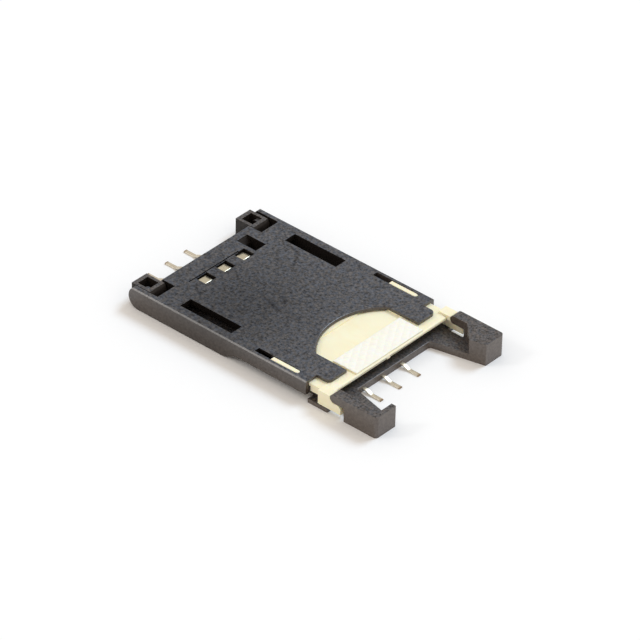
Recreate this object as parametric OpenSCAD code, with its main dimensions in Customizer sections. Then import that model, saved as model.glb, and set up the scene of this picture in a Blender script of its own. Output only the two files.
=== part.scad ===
// Hinged socket for a 25 x 15 mm SIM card, with a sliding lock and six spring contacts.
// Lengths run along X from the hinge axis towards the arms, and the finished pieces are then
// moved so that the origin is the middle of the footprint, on the board.

/* [Card] */
// Length of the card
card_l = 25; // [24:0.1:26]
// Width of the card
card_w = 15; // [14.6:0.1:15.4]
// Thickness of the card
card_t = 0.76; // [0.7:0.02:0.84]
// Cut corner of the card, along each edge
card_cut = 3; // [2:0.1:4]
// Play beside each long edge of the card
card_play = 0.08; // [0.05:0.01:0.12]
// Play at the end of the card
card_end_play = 0.15; // [0.1:0.05:0.4]
// Height left free above the card
card_gap = 0.06; // [0.04:0.01:0.15]

/* [Overall] */
// Width of the lid's sides and of the arms, beside the card
side_w = 1.07; // [1:0.01:1.3]
// Height of the base's floor, on which the card lies
base_h = 0.68; // [0.6:0.02:0.8]
// Height of the arms and lock noses
arm_h = 2.25; // [2.2:0.05:2.6]

/* [Hinge] */
// Height of the hinge axis
hinge_z = 1.2; // [1.18:0.01:1.3]
// Diameter of the lid's pins
pin_d = 1.2; // [0.9:0.05:1.25]
// Radial play of the pins in the posts
pin_play = 0.04; // [0.03:0.01:0.06]
// Radius of the lid's round ears
ear_r = 1.15; // [1.1:0.01:1.17]
// Thickness of the ears
ear_t = 0.55; // [0.45:0.05:0.6]
// Gap between a post and the lid beside it
post_gap = 0.17; // [0.12:0.01:0.25]
// Width of a hinge post
post_w = 1.95; // [1.8:0.05:2.1]
// Height of the hinge posts
post_h = 2; // [1.95:0.05:2.1]
// Back of the posts, behind the hinge axis
post_back = 1.43; // [1.3:0.01:1.5]
// Radius of the posts' round front about the hinge axis
post_nose_r = 1.1; // [1.05:0.05:1.2]
// Wall of a post behind its pocket
post_wall = 0.45; // [0.4:0.01:0.5]
// Walls of a post beside its pocket
post_side_wall = 0.33; // [0.3:0.01:0.4]
// Reach of the lid's pins into the pockets
pin_reach = 0.45; // [0.3:0.05:0.5]
// Play at the ends of the pins
pin_end_play = 0.05; // [0.03:0.01:0.1]
// Gap between the round post and the lid in front of it
nose_gap = 0.78; // [0.7:0.01:0.9]

/* [Lid] */
// Thickness of the lid's skin over the lock
skin_t = 0.28; // [0.24:0.02:0.36]
// Bevel along the lid's upper edges
lid_bevel = 0.12; // [0.08:0.02:0.16]
// Back edge of the lid's strip, in front of the hinge axis
strip_back = 0.35; // [0.3:0.05:0.45]
// Width of the strip behind the card
strip_l = 2.3; // [2.2:0.05:2.5]
// Clearance of the skirt above the board
skirt_z = 0.05; // [0.03:0.01:0.1]
// Length of the deep part of the skirt from the hinge axis
skirt_l = 10.35; // [9.5:0.05:11]
// Length of the skirt's slope
skirt_slope_l = 1.5; // [1:0.1:2]
// Height of the shallow part of the skirt above the board
skirt_front_z = 0.7; // [0.6:0.02:0.8]
// Length of the card's space in front of the lid's sides
card_open = 7.7; // [7.3:0.05:7.9]
// Length of the two tongues beyond the sides
tongue_l = 1.43; // [1.2:0.01:1.5]
// Width of the notch beside each tongue
tongue_notch_w = 1.45; // [1.3:0.05:1.6]
// Corner radius of the tongues
tongue_r = 0.5; // [0.3:0.05:0.6]

/* [Lid openings] */
// Half width of the thumb cut-out
thumb_half_w = 4.85; // [4.6:0.05:5]
// Radius of the thumb cut-out's round end
thumb_r = 6.6; // [6:0.1:7.5]
// Length of the thumb cut-out from the tongues' front
thumb_l = 5.63; // [5.3:0.01:5.9]
// Length of the windows over the card rails
rail_win_l = 6.15; // [5:0.05:6.5]
// Distance from the hinge axis to these windows
rail_win_back = 4.28; // [4.1:0.02:4.6]
// Width of these windows
rail_win_w = 1.38; // [1.2:0.02:1.5]
// Overlap of these windows with the lid's side wall
rail_win_in = 0.12; // [0.05:0.01:0.2]
// Thickness of the card rails under these windows
rail_t = 0.35; // [0.3:0.05:0.4]
// Length of the rear windows over the contacts
rear_win_l = 1.3; // [1.1:0.05:1.4]
// Width of the rear windows
rear_win_w = 1.4; // [1.2:0.05:1.5]
// Sideways offset of the rear windows from the tails
rear_win_shift = 1.1; // [1:0.02:1.2]
// Reach of the rear windows behind the card's end
rear_win_lead = 0.24; // [0.2:0.02:0.3]
// Width of the groove along the rear windows
groove_w = 0.12; // [0.08:0.02:0.16]
// Depth of the groove
groove_d = 0.12; // [0.08:0.02:0.2]
// Length of the ramped pocket beside the rear windows
pocket_l = 2.3; // [2:0.05:2.5]
// Width of the ramped pocket
pocket_w = 1.4; // [1.2:0.05:1.5]
// Length of the pocket's ramp
pocket_ramp_l = 0.5; // [0.4:0.05:1]
// Depth of the step at the top of the pocket's ramp
pocket_step = 0.05; // [0.03:0.01:0.08]
// Distance from the pocket's front to the front of the rear windows
pocket_front = 0.25; // [0.2:0.05:0.3]
// Distance across from the last rear window to the ramped pocket, middle to middle
pocket_shift = 1.84; // [1.7:0.02:2]
// Width of the narrow slots for the lock's ribs
slot_w = 0.58; // [0.5:0.02:0.62]
// Length of the narrow slots
slot_l = 5.05; // [4.8:0.05:5.3]
// Wall between a narrow slot and the outside
slot_wall = 0.4; // [0.36:0.02:0.5]
// Distance from the narrow slots to the front of the lid's sides
slot_front = 1.35; // [1.2:0.05:1.5]

/* [Lock] */
// Travel of the lock
lock_travel = 1.4; // [1.2:0.05:1.5]
// Thickness of the lock's plate
lock_t = 0.28; // [0.24:0.02:0.32]
// Sliding clearance round the lock
lock_play = 0.04; // [0.03:0.01:0.06]
// Room behind the lock at the end of its travel
lock_end_play = 0.08; // [0.05:0.01:0.12]
// Reach of the lock's plate behind the thumb cut-out
lock_lead = 0.4; // [0.3:0.05:0.5]
// Front edge of the lock's plate, in front of the lid's sides
lock_front = 2.4; // [2.3:0.05:2.6]
// Length of the lock's ribs
rib_l = 3.2; // [2.6:0.05:3.3]
// Depth of the ribs' tops below the lid's top
rib_sink = 0.02; // [0.02:0.01:0.1]
// Space behind the hooks beyond the travel
hook_stop_gap = 0.02; // [0.01:0.01:0.05]
// Length of the hooks' plates behind the noses
hook_l = 1.4; // [1.3:0.05:1.5]
// Height of the hooks above the board
hook_z = 0.5; // [0.45:0.01:0.58]
// Top of the hooks above the lock's plate
hook_rise = 0.2; // [0.1:0.02:0.3]
// Clear distance of a released hook from its nose
hook_release = 0.18; // [0.1:0.02:0.3]
// Clearance between a hook and its nose
hook_play = 0.06; // [0.05:0.01:0.1]
// Thickness of the hooks' lips
lip_w = 0.7; // [0.6:0.05:0.8]
// Bottom of the hooks' webs above the board
web_z = 1; // [0.9:0.02:1.1]
// Length of the hooks' webs
web_l = 1.25; // [1:0.05:1.3]
// Half width of the grip pad
pad_half_w = 4.5; // [4:0.05:4.6]
// Length of the grip pad
pad_l = 2.75; // [2.4:0.05:2.9]
// Height of the grip pad above the plate
pad_t = 0.16; // [0.08:0.02:0.2]
// Plain strip in front of the grip pad
pad_front = 0.15; // [0.1:0.05:0.3]
// Length of the shallow dish behind the grip pad
dish_l = 3.25; // [3:0.05:3.4]
// Depth of the dish
dish_d = 0.08; // [0.04:0.02:0.1]
// Place of the gate mark on the lock's front edge, from the centre line
gate_y = -0.4; // [-2:0.1:2]
// Width of the gate mark
gate_w = 0.4; // [0.3:0.05:0.6]
// Reach of the gate mark from the edge
gate_l = 0.08; // [0.05:0.01:0.12]

/* [Arms and floor] */
// Height of a lock nose
nose_t = 0.82; // [0.7:0.02:0.9]
// Gap between a hook's lip and the arm in front of it
lip_gap = 0.4; // [0.3:0.05:0.6]
// Thickness of the tab that stops the card
tab_t = 0.5; // [0.4:0.05:0.7]
// Length of this tab
tab_l = 1.5; // [1:0.1:2]
// Front of the cross-bar, behind the arms' front
bar_back = 5.45; // [5.2:0.05:5.6]
// Length of the cross-bar
bar_l = 1.6; // [1.5:0.05:1.7]
// Radius of the fillets between the cross-bar and the ledges
bar_fillet = 0.35; // [0.2:0.05:0.5]
// Radius of the arms' outer front corners
arm_r = 0.35; // [0.2:0.05:0.45]
// Width of the ledges under the card at the cross-bar
ledge_w = 2.65; // [2.4:0.01:2.9]
// Width of the ledges at the front
ledge_front_w = 1.38; // [1.2:0.02:1.6]
// Clearance between the base and the lid's walls
floor_play = 0.15; // [0.1:0.01:0.25]
// Clearance between the floor and the lid above it
lid_floor_gap = 0.08; // [0.05:0.01:0.12]
// Clearance between the floor and the ends of the card rails
waist_play = 0.3; // [0.2:0.05:0.4]
// Length of the foot plates
foot_l = 2.27; // [2:0.05:2.4]
// Height of the foot plates
foot_h = 0.42; // [0.3:0.02:0.44]
// Gap between the foot plates and the lid's front above them
foot_lead = 0.25; // [0.2:0.05:0.4]

/* [Contacts] */
// Pitch of the contacts
pitch = 2.54; // [2.4:0.01:2.6]
// Middle of the first contact, from the centre line
first_y = -4.05; // [-4.2:0.01:-3.9]
// Distance from the card's end to the first row of contacts
row_inset = 5; // [4.6:0.1:5.4]
// Distance between the two rows
row_step = 7.62; // [7.4:0.02:7.8]
// Thickness of the contact strip
strip_t = 0.14; // [0.1:0.01:0.16]
// Width of the solder tails
tail_w = 0.4; // [0.35:0.05:0.5]
// Flat length of the solder tails
tail_flat_l = 1.15; // [1:0.05:1.25]
// Level length of the tails beside the base
tail_stub = 0.3; // [0.25:0.05:0.4]
// Length of the tails' bends
tail_bend = 0.15; // [0.1:0.01:0.16]
// Reach of the tails from the base
tail_l = 2.15; // [2:0.05:2.3]
// Height at which the strips lie in the base
strip_z = 0.36; // [0.3:0.02:0.42]
// Height of the contact points with no card in
point_z = 1.22; // [1.1:0.02:1.26]
// Gap between the cross-bar and the roots of the springs of the front row
spring_root_gap = 0.1; // [0.05:0.05:0.2]
// Rise of the springs of the front row over their last stretch
point_rise = 0.18; // [0.1:0.02:0.24]
// Length of the bends at the contact points
point_bend = 0.3; // [0.2:0.02:0.34]
// Length of the turned-down ends
tip_l = 1; // [0.8:0.05:1.1]
// Drop of the turned-down ends
tip_drop = 0.35; // [0.2:0.05:0.4]
// Distance from the rear contact points to the folds of the rear springs
loop_l = 3; // [2.6:0.1:3.2]
// Height of the rear springs above their strips at the folds
loop_rise = 0.25; // [0.24:0.01:0.28]
// Length of the bends at the folds
loop_bend = 0.12; // [0.1:0.01:0.12]
// Length of the upper run that starts at a fold
loop_run = 0.5; // [0.4:0.05:0.6]
// Length of the floor's slot at a fold
loop_slot = 1; // [0.8:0.05:1.2]
// Width of the rear springs' free ends
end_w = 1.05; // [0.9:0.05:1.1]
// Length of the flat free ends
end_flat = 0.82; // [0.8:0.01:0.84]
// Length of the steep rise to the free ends
end_step = 0.38; // [0.36:0.01:0.4]
// Length of the bends of the rear springs
end_bend = 0.15; // [0.1:0.01:0.18]
// Reach of the free ends behind the card's end
end_lead = 0.12; // [0.1:0.01:0.13]
// Depth of the free ends below the lid's top
end_sink = 0.32; // [0.28:0.02:0.36]
// Depth of the rear springs below the lid's ceiling where they start to rise
lift_gap = 0.3; // [0.29:0.01:0.36]
// Clearance round the strips where they pass through the base
strip_play = 0.01; // [0.01:0.01:0.03]
// Room beside the springs in the floor's windows
spring_gap = 0.2; // [0.15:0.05:0.25]

/* [Hidden] */
$fn = 48;

// Extra reach of a shape past the face that it cuts or joins
cut = 0.5;

// Levels above the board, from the floor up to the lid's top
card_top = base_h + card_t;
ceiling_z = card_top + card_gap;
lock_top = ceiling_z + lock_t;
skin_z = lock_top + lock_play;
lid_top = skin_z + skin_t;
hook_top = lock_top + hook_rise;

// Places across the socket, from the centre line
rail_y = card_w/2 + card_play;
half_w = rail_y + side_w;
ear_y = half_w - ear_t;
post_out_y = ear_y - post_gap;
post_in_y = post_out_y - post_w;
notch_in_y = post_in_y - post_gap;
slot_out_y = half_w - slot_wall;
slot_in_y = slot_out_y - slot_w;
rail_win_out_y = rail_y + rail_win_in;
rail_win_in_y = rail_win_out_y - rail_win_w;
tongue_out_y = half_w - tongue_notch_w;
floor_y = rail_y - floor_play;
waist_y = rail_win_in_y - floor_play;
pocket_y = window_y(3) + pocket_shift;
ledge_y = rail_y - ledge_w;
ledge_front_y = rail_y - ledge_front_w;

// Places along the socket, from the hinge axis
notch_front = post_nose_r + nose_gap;
card_back = strip_back + strip_l;
card_front = card_back + card_l + card_end_play;
arm_front = card_front + tab_t;
lid_l = card_front - card_open;
rear_win_back = card_back - rear_win_lead;
rear_win_front = rear_win_back + rear_win_l;
tongue_front = lid_l + tongue_l;
thumb_back = tongue_front - thumb_l;
slot_end = lid_l - slot_front;
slot_back = slot_end - slot_l;
thumb_middle = thumb_back + thumb_r;
hook_back = lid_l + lock_travel + hook_stop_gap;
web_back = hook_back - web_l;
lock_end = lid_l + lock_front;
pad_end = lock_end - pad_front;
pad_back = pad_end - pad_l;
rib_end = slot_end - lock_play;
rib_back = rib_end - rib_l;
lock_back = thumb_back - lock_lead;
bar_front = arm_front - bar_back;
bar_rear = bar_front - bar_l;
nose_end = hook_back + hook_l;
lip_tip = nose_end + lock_travel - hook_release;
arm_back = lip_tip + lip_gap;
rear_wall = -post_back + post_wall;
foot_back = lid_l + foot_lead;
row_rear = card_back + card_end_play/2 + row_inset;
row_front = row_rear + row_step;
spring_root = bar_rear - spring_root_gap;
tail_front_tip = bar_front + tail_l;
tail_rear_tip = rear_wall - tail_l;
rail_win_front = rail_win_back + rail_win_l;
waist_back = rail_win_back - waist_play;
waist_front = rail_win_front + waist_play;
nose_r = nose_t/2;
nose_z = arm_h - nose_r;
mouth_r = nose_r + hook_play;

// Rear springs: fold in front, free end in the lid's window
loop_x = row_rear + loop_l;
loop_z = strip_z + loop_rise;
end_x = card_back - end_lead;
end_z = lid_top - end_sink;
step_x = end_x + end_flat;
lift_x = step_x + end_step;
lift_z = ceiling_z - lift_gap;
spring_bed_z = strip_z + strip_t/2;

// Middle of the footprint, which becomes the origin
middle_x = (tail_rear_tip + arm_front)/2;

plastic_black = [0.16, 0.16, 0.17];
plastic_cream = [0.96, 0.93, 0.82];
plated_gold = [0.85, 0.72, 0.42];
plated_tin = [0.80, 0.80, 0.78];

// Middle of contact number k across the socket
function contact_y(k) = first_y + (k - 1)*pitch;

// Middle of rear window number k across the socket
function window_y(k) = contact_y(k) + rear_win_shift;

// Unit vector along v
function unit(v) = v/norm(v);

// Normal on the left of the run from point i to point i + 1
function left_of(p, i) = let(u = unit(p[i + 1] - p[i])) [-u[1], u[0]];

// Mitre of the strip's edge at point i of its middle line
function mitre(p, i) =
    i == 0 ? left_of(p, 0) :
    i == len(p) - 1 ? left_of(p, i - 1) :
    let(a = left_of(p, i - 1), b = left_of(p, i)) (a + b)/(1 + a*b);

// Outline of a strip of thickness t along the middle line p
function strip_outline(p, t) = concat(
    [for (i = [0:len(p) - 1]) p[i] + mitre(p, i)*t/2],
    [for (i = [len(p) - 1:-1:0]) p[i] - mitre(p, i)*t/2]);

// Middle line p with every inner corner rounded over a run of length r on both sides
function bent(p, r, n = 5) = concat(
    [p[0]],
    [for (i = [1:len(p) - 2])
        let(a = p[i] + unit(p[i - 1] - p[i])*r, b = p[i] + unit(p[i + 1] - p[i])*r)
        for (k = [0:n])
            let(s = k/n) a*(1 - s)*(1 - s) + p[i]*2*s*(1 - s) + b*s*s],
    [p[len(p) - 1]]);

// Moves a piece from the hinge's frame to the footprint's middle
module place() {
    translate([-middle_x, 0, 0]) children();
}

// Repeats a piece on the right and on the left
module both_sides() {
    children();
    mirror([0, 1, 0]) children();
}

// Block between two corners
module slab(x0, x1, y0, y1, z0, z1) {
    translate([x0, y0, z0]) cube([x1 - x0, y1 - y0, z1 - z0]);
}

// Extrudes a profile drawn in X and Z from y0 to y1
module along_y(y0, y1) {
    translate([0, y1, 0]) rotate([90, 0, 0]) linear_extrude(y1 - y0) children();
}

// Extrudes a profile drawn in Y and Z from x0 to x1
module along_x(x0, x1) {
    translate([x0, 0, 0]) rotate([90, 0, 90]) linear_extrude(x1 - x0) children();
}

// Rectangle between two corners
module area(x0, x1, y0, y1) {
    translate([x0, y0]) square([x1 - x0, y1 - y0]);
}

// Rectangle along X with one round end
module round_end_area(x0, x1, y0, y1) {
    r = (y1 - y0)/2;
    area(x0, x1 - r, y0, y1);
    translate([x1 - r, y0 + r]) circle(r);
}

// Side view of the lid: round ears, deep skirt, slope and shallow skirt
module lid_side() {
    intersection() {
        union() {
            translate([0, hinge_z]) circle(ear_r);
            polygon([[0, hinge_z - ear_r], [skirt_l, skirt_z], [skirt_l + skirt_slope_l, skirt_front_z],
                     [tongue_front, skirt_front_z], [tongue_front, lid_top], [0, lid_top]]);
        }
        area(-ear_r, tongue_front, 0, lid_top);
    }
}

// End view of the lid's outside, with its upper edges bevelled
module lid_end() {
    polygon([[-half_w, 0], [half_w, 0], [half_w, lid_top - lid_bevel], [half_w - lid_bevel, lid_top],
             [-half_w + lid_bevel, lid_top], [-half_w, lid_top - lid_bevel]]);
}

// Top view of one tongue
module tongue_area() {
    area(lid_l - cut, tongue_front - tongue_r, thumb_half_w - cut, tongue_out_y);
    area(lid_l - cut, tongue_front, thumb_half_w - cut, tongue_out_y - tongue_r);
    translate([tongue_front - tongue_r, tongue_out_y - tongue_r]) circle(tongue_r);
}

// Top view of the lid's outside
module lid_top_view() {
    area(-ear_r - cut, lid_l, -half_w, half_w);
    tongue_area();
    mirror([0, 1]) tongue_area();
}

// Top view of the thumb cut-out
module thumb_area() {
    intersection() {
        translate([thumb_middle, 0]) circle(thumb_r, $fn = 128);
        area(thumb_back - cut, tongue_front + cut, -thumb_half_w, thumb_half_w);
    }
}

// Ramped pocket through the lid beside the rear windows
module ramp_pocket() {
    x1 = rear_win_front - pocket_front;
    x0 = x1 - pocket_l;
    along_y(pocket_y - pocket_w/2, pocket_y + pocket_w/2)
        polygon([[x0, lid_top + cut], [x0, lid_top - pocket_step], [x0 + pocket_ramp_l, ceiling_z],
                 [x0 + pocket_ramp_l, base_h], [x1, base_h], [x1, lid_top + cut]]);
}

// Window over the free end of a rear spring
module rear_window(k) {
    y = window_y(k);
    slab(rear_win_back, rear_win_front, y - rear_win_w/2, y + rear_win_w/2, base_h, lid_top + cut);
}

// Everything that is cut out of the lid's block
module lid_cuts() {
    // Card space, open downwards and to the front
    slab(card_back, tongue_front + cut, -rail_y, rail_y, -cut, ceiling_z);
    // Under the strip behind the card
    slab(-ear_r - cut, card_back + cut, -notch_in_y, notch_in_y, -cut, base_h + lid_floor_gap);
    slab(-ear_r - cut, strip_back, -notch_in_y - cut, notch_in_y + cut, -cut, lid_top + cut);
    // Under the corners in front of the posts
    slab(notch_front - cut, card_back + cut, -rail_y, rail_y, -cut, base_h + lid_floor_gap);
    both_sides() {
        // Room for the hinge posts
        slab(-ear_r - cut, notch_front, notch_in_y, ear_y, -cut, lid_top + cut);
        // Window over the card rail
        slab(rail_win_back, rail_win_front, rail_win_in_y, rail_win_out_y, base_h, lid_top + cut);
        // Narrow slot for the lock's rib
        translate([0, 0, ceiling_z])
            linear_extrude(lid_top) round_end_area(slot_back, slot_end, slot_in_y, slot_out_y);
        // Room for the hook's web
        slab(web_back - lock_travel - lock_end_play, tongue_front + cut, rail_y - cut, slot_out_y,
             -cut, skin_z);
    }
    // Bed of the lock's plate
    slab(lock_back - lock_travel - lock_end_play, tongue_front + cut, -slot_out_y, slot_out_y,
         ceiling_z - lock_play, skin_z);
    // Thumb cut-out
    translate([0, 0, base_h]) linear_extrude(lid_top) thumb_area();
    // Groove along the rear windows
    slab(rear_win_back - groove_w, rear_win_back, contact_y(1) - tail_w, window_y(3),
         lid_top - groove_d, lid_top + cut);
    for (k = [1:3]) rear_window(k);
    ramp_pocket();
}

// Card rails, which hold the card from below
module card_rails() {
    both_sides()
        slab(rail_win_back, rail_win_front, rail_win_in_y, rail_y + cut, base_h - rail_t, base_h);
}

// Hinge pins on the ears' inner faces
module hinge_pins() {
    both_sides()
        translate([0, ear_y + ear_t/2, hinge_z])
            rotate([90, 0, 0])
                cylinder(d = pin_d, h = ear_t/2 + post_gap + post_side_wall + pin_reach);
}

module lid() color(plastic_black) place() {
    difference() {
        intersection() {
            along_x(-ear_r, tongue_front) lid_end();
            along_y(-half_w, half_w) lid_side();
            linear_extrude(lid_top) lid_top_view();
        }
        lid_cuts();
    }
    card_rails();
    hinge_pins();
}

// Side view of a hook: plate, mouth round the nose and lip below it
module hook_side() {
    lip_top = nose_z - mouth_r;
    tip_r = (lip_top - hook_z)/2;
    difference() {
        area(hook_back, nose_end + nose_r, hook_z, hook_top);
        translate([nose_end + nose_r, nose_z]) circle(mouth_r);
    }
    area(hook_back, lip_tip - tip_r, hook_z, lip_top);
    area(hook_back, lip_tip, hook_z, lip_top - tip_r);
    translate([lip_tip - tip_r, lip_top - tip_r]) circle(tip_r);
}

module lock_slider() color(plastic_cream) place() {
    side_y = slot_out_y - lock_play;
    plate_y = rail_y - lock_play;
    // Plate with its dish
    difference() {
        slab(lock_back, lock_end, -plate_y, plate_y, ceiling_z, lock_top);
        slab(pad_back - dish_l, pad_back, -thumb_half_w, thumb_half_w, lock_top - dish_d, lock_top + cut);
    }
    // Grip pad
    slab(pad_back, pad_end, -pad_half_w, pad_half_w, ceiling_z, lock_top + pad_t);
    // Gate mark
    slab(lock_end - cut, lock_end + gate_l, gate_y - gate_w/2, gate_y + gate_w/2,
         ceiling_z, ceiling_z + lock_t/2);
    both_sides() {
        slab(lock_back, hook_back + cut, plate_y - cut, side_y, ceiling_z, lock_top);
        // Guide rib in the lid's slot
        translate([0, 0, ceiling_z]) linear_extrude(lid_top - ceiling_z - rib_sink)
            round_end_area(rib_back, rib_end, slot_in_y + lock_play, side_y);
        // Web and hook
        slab(web_back, hook_back + cut, rail_y + lock_play, side_y, web_z, lock_top);
        along_y(half_w - lip_w, half_w) hook_side();
        along_y(rail_y + lock_play, half_w) intersection() {
            hook_side();
            area(hook_back, lip_tip, ceiling_z, hook_top);
        }
    }
}

// Side view of a hinge post, round in front about the hinge axis
module post_side() {
    intersection() {
        union() {
            translate([0, hinge_z]) circle(post_nose_r);
            area(-post_back, 0, 0, post_h);
            area(-post_back, post_nose_r, 0, base_h);
        }
        area(-post_back, post_nose_r, 0, post_h);
    }
}

// Hinge post with the open pocket behind its bearing
module hinge_post() {
    difference() {
        along_y(post_in_y, post_out_y) post_side();
        slab(-post_back + post_wall, strip_back, post_in_y + post_side_wall, post_out_y - post_side_wall,
             base_h/2, post_h + cut);
    }
}

// Bearing of the lid's pin, on the right
module pin_bore() {
    translate([0, post_out_y - post_side_wall - pin_reach - pin_end_play, hinge_z])
        rotate([-90, 0, 0]) cylinder(d = pin_d + 2*pin_play, h = post_w);
}

// Side view of a lock nose with its round end
module nose_side() {
    area(nose_end + nose_r, arm_back + cut, arm_h - nose_t, arm_h);
    translate([nose_end + nose_r, nose_z]) circle(nose_r);
}

// Arm with its nose, on the right
module arm() {
    along_y(rail_y, half_w) nose_side();
    slab(arm_back, arm_front, rail_y, half_w, 0, arm_h);
    slab(arm_back, arm_front, floor_y, half_w, 0, base_h);
}

// Block that fits the card's cut corner
module corner_key() {
    key_back = card_front - card_cut + card_end_play;
    linear_extrude(arm_h) intersection() {
        polygon([[key_back - card_play, rail_y], [key_back + card_w, rail_y - card_w - card_play],
                 [arm_front + card_w, half_w], [key_back, half_w]]);
        mouth_sides();
        area(key_back - card_cut, arm_front, 0, half_w);
    }
}

// Top view of the floor in front of the cross-bar, on the right
module mouth_sides() {
    polygon([[bar_front, ledge_y], [arm_front, ledge_front_y], [arm_front, half_w],
             [bar_front, half_w]]);
}

// Top view of the fillet between the cross-bar and the ledge, on the right
module mouth_fillet() {
    slant = atan((ledge_front_y - ledge_y)/bar_back);
    y = ledge_y + bar_fillet*tan(slant) - bar_fillet/cos(slant);
    difference() {
        polygon([[bar_front - cut, y], [bar_front + bar_fillet, y],
                 [bar_front + bar_fillet*(1 - sin(slant)), y + bar_fillet*cos(slant)],
                 [bar_front - cut, ledge_y + cut]]);
        translate([bar_front + bar_fillet, y]) circle(bar_fillet);
    }
}

// Top view of what is cut away at an arm's outer front corner, on the right
module arm_corner() {
    difference() {
        area(arm_front - arm_r, arm_front + cut, half_w - arm_r, half_w + cut);
        translate([arm_front - arm_r, half_w - arm_r]) circle(arm_r);
    }
}

// Top view of the floor
module floor_area() {
    area(rear_wall, waist_back, -floor_y, floor_y);
    area(waist_back - cut, waist_front + cut, -waist_y, waist_y);
    area(waist_front, bar_front, -floor_y, floor_y);
    for (s = [0, 1]) mirror([0, s]) {
        mouth_fillet();
        intersection() {
            mouth_sides();
            area(bar_front - cut, arm_front, 0, floor_y);
        }
    }
}

// Top view of a rear spring, widened by gap all round
module rear_spring_area(k, gap) {
    y0 = contact_y(k) - tail_w/2 - gap;
    y1 = contact_y(k) + tail_w/2 + gap;
    y2 = window_y(k) + end_w/2 + gap;
    y3 = window_y(k) - end_w/2 - gap;
    polygon([[loop_x + gap, y0], [loop_x + gap, y1], [loop_x - loop_run, y1], [lift_x, y2],
             [end_x - gap, y2], [end_x - gap, y3], [lift_x, y3], [loop_x - loop_run, y0]]);
}

// Beds and slots for the springs and passages for the strips
module floor_cuts() {
    for (k = [1:3]) {
        y = contact_y(k);
        w2 = tail_w/2 + strip_play;
        z0 = strip_z - strip_t/2 - strip_play;
        z1 = strip_z + strip_t/2 + strip_play;
        translate([0, 0, spring_bed_z]) linear_extrude(base_h) rear_spring_area(k, spring_gap);
        slab(loop_x - loop_slot, loop_x + spring_gap, y - w2 - spring_gap, y + w2 + spring_gap,
             -cut, base_h + cut);
        slab(row_front - tip_l - spring_gap, bar_rear, y - w2 - spring_gap, y + w2 + spring_gap,
             -cut, base_h + cut);
        slab(bar_rear - cut, bar_front + cut, y - w2, y + w2, z0, z1);
        slab(rear_wall - cut, loop_x - loop_slot + cut, y - w2, y + w2, z0, z1);
    }
}

// Hinge posts, feet, arms, key and tab, with the arms' corners rounded
module uprights() {
    difference() {
        union() {
            both_sides() {
                hinge_post();
                slab(foot_back, foot_back + foot_l, floor_y - cut, half_w, 0, foot_h);
                arm();
            }
            corner_key();
            // Tab that stops the card's front edge on the left
            mirror([0, 1, 0]) slab(card_front, arm_front, rail_y - tab_l, half_w, 0, arm_h);
        }
        both_sides() translate([0, 0, -cut]) linear_extrude(arm_h + 2*cut) arm_corner();
    }
}

module base() color(plastic_black) place() {
    difference() {
        union() {
            difference() {
                linear_extrude(base_h) floor_area();
                floor_cuts();
            }
            uprights();
        }
        both_sides() pin_bore();
    }
}

// Strip along a bent middle line, width w about the middle y
module strip(p, y, w) {
    along_y(y - w/2, y + w/2) polygon(strip_outline(p, strip_t));
}

// Solder tail from the board up to the strip's level: x runs away from the base, towards dir
module tail(tip_x, wall_x, inner_x, y, dir) {
    flat_end = tip_x - dir*tail_flat_l;
    strip(bent([[tip_x, strip_t/2], [flat_end, strip_t/2], [wall_x + dir*tail_stub, strip_z],
                [inner_x, strip_z]],
               tail_bend),
          y, tail_w);
}

module contact_front(k) color(plated_tin) place() {
    y = contact_y(k);
    p = [[spring_root, strip_z], [row_front + tip_l, point_z - point_rise], [row_front, point_z],
         [row_front - tip_l, point_z - tip_drop]];
    tail(tail_front_tip, bar_front, spring_root, y, 1);
    strip(bent(p, point_bend), y, tail_w);
}

module contact_rear(k) color(plated_gold) place() {
    y = contact_y(k);
    fold = [loop_x, loop_z];
    point = [row_rear, point_z];
    rise = unit(point - fold);
    tail(tail_rear_tip, rear_wall, loop_x - loop_run, y, -1);
    // Fold from the strip in the floor to the spring above it
    strip(bent([[loop_x - loop_run, strip_z], [loop_x, strip_z], fold, rise*loop_run + fold], loop_bend),
          y, tail_w);
    // Spring from the fold to its free end, cut to its top view
    intersection() {
        strip(bent([rise*loop_bend + fold, point, [lift_x, lift_z], [step_x, end_z], [end_x, end_z]],
                   end_bend),
              y + rear_win_shift/2, 2*rear_win_shift + end_w);
        linear_extrude(lid_top) rear_spring_area(k, 0);
    }
}

base();
lid();
lock_slider();
contact_front(1);  // contact_front_1
contact_front(2);  // contact_front_2
contact_front(3);  // contact_front_3
contact_rear(1);  // contact_rear_1
contact_rear(2);  // contact_rear_2
contact_rear(3);  // contact_rear_3
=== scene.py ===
"""Looks of a hinged card socket: moulded black body, ivory sliding lock and plated spring contacts.

Every length in this file is in millimetres in the part's own frame, and MM turns it into metres where a mesh
or a node needs it. The frame's origin is the middle of the footprint on the board, +X runs from the hinge to
the arms, +Y to the side with the keyed arm and +Z up.
"""

import logging
import math
from dataclasses import dataclass, field
from enum import Enum
from typing import Any, Sequence

import bmesh
import bpy
import numpy as np
from mathutils import Matrix, Vector


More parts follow.
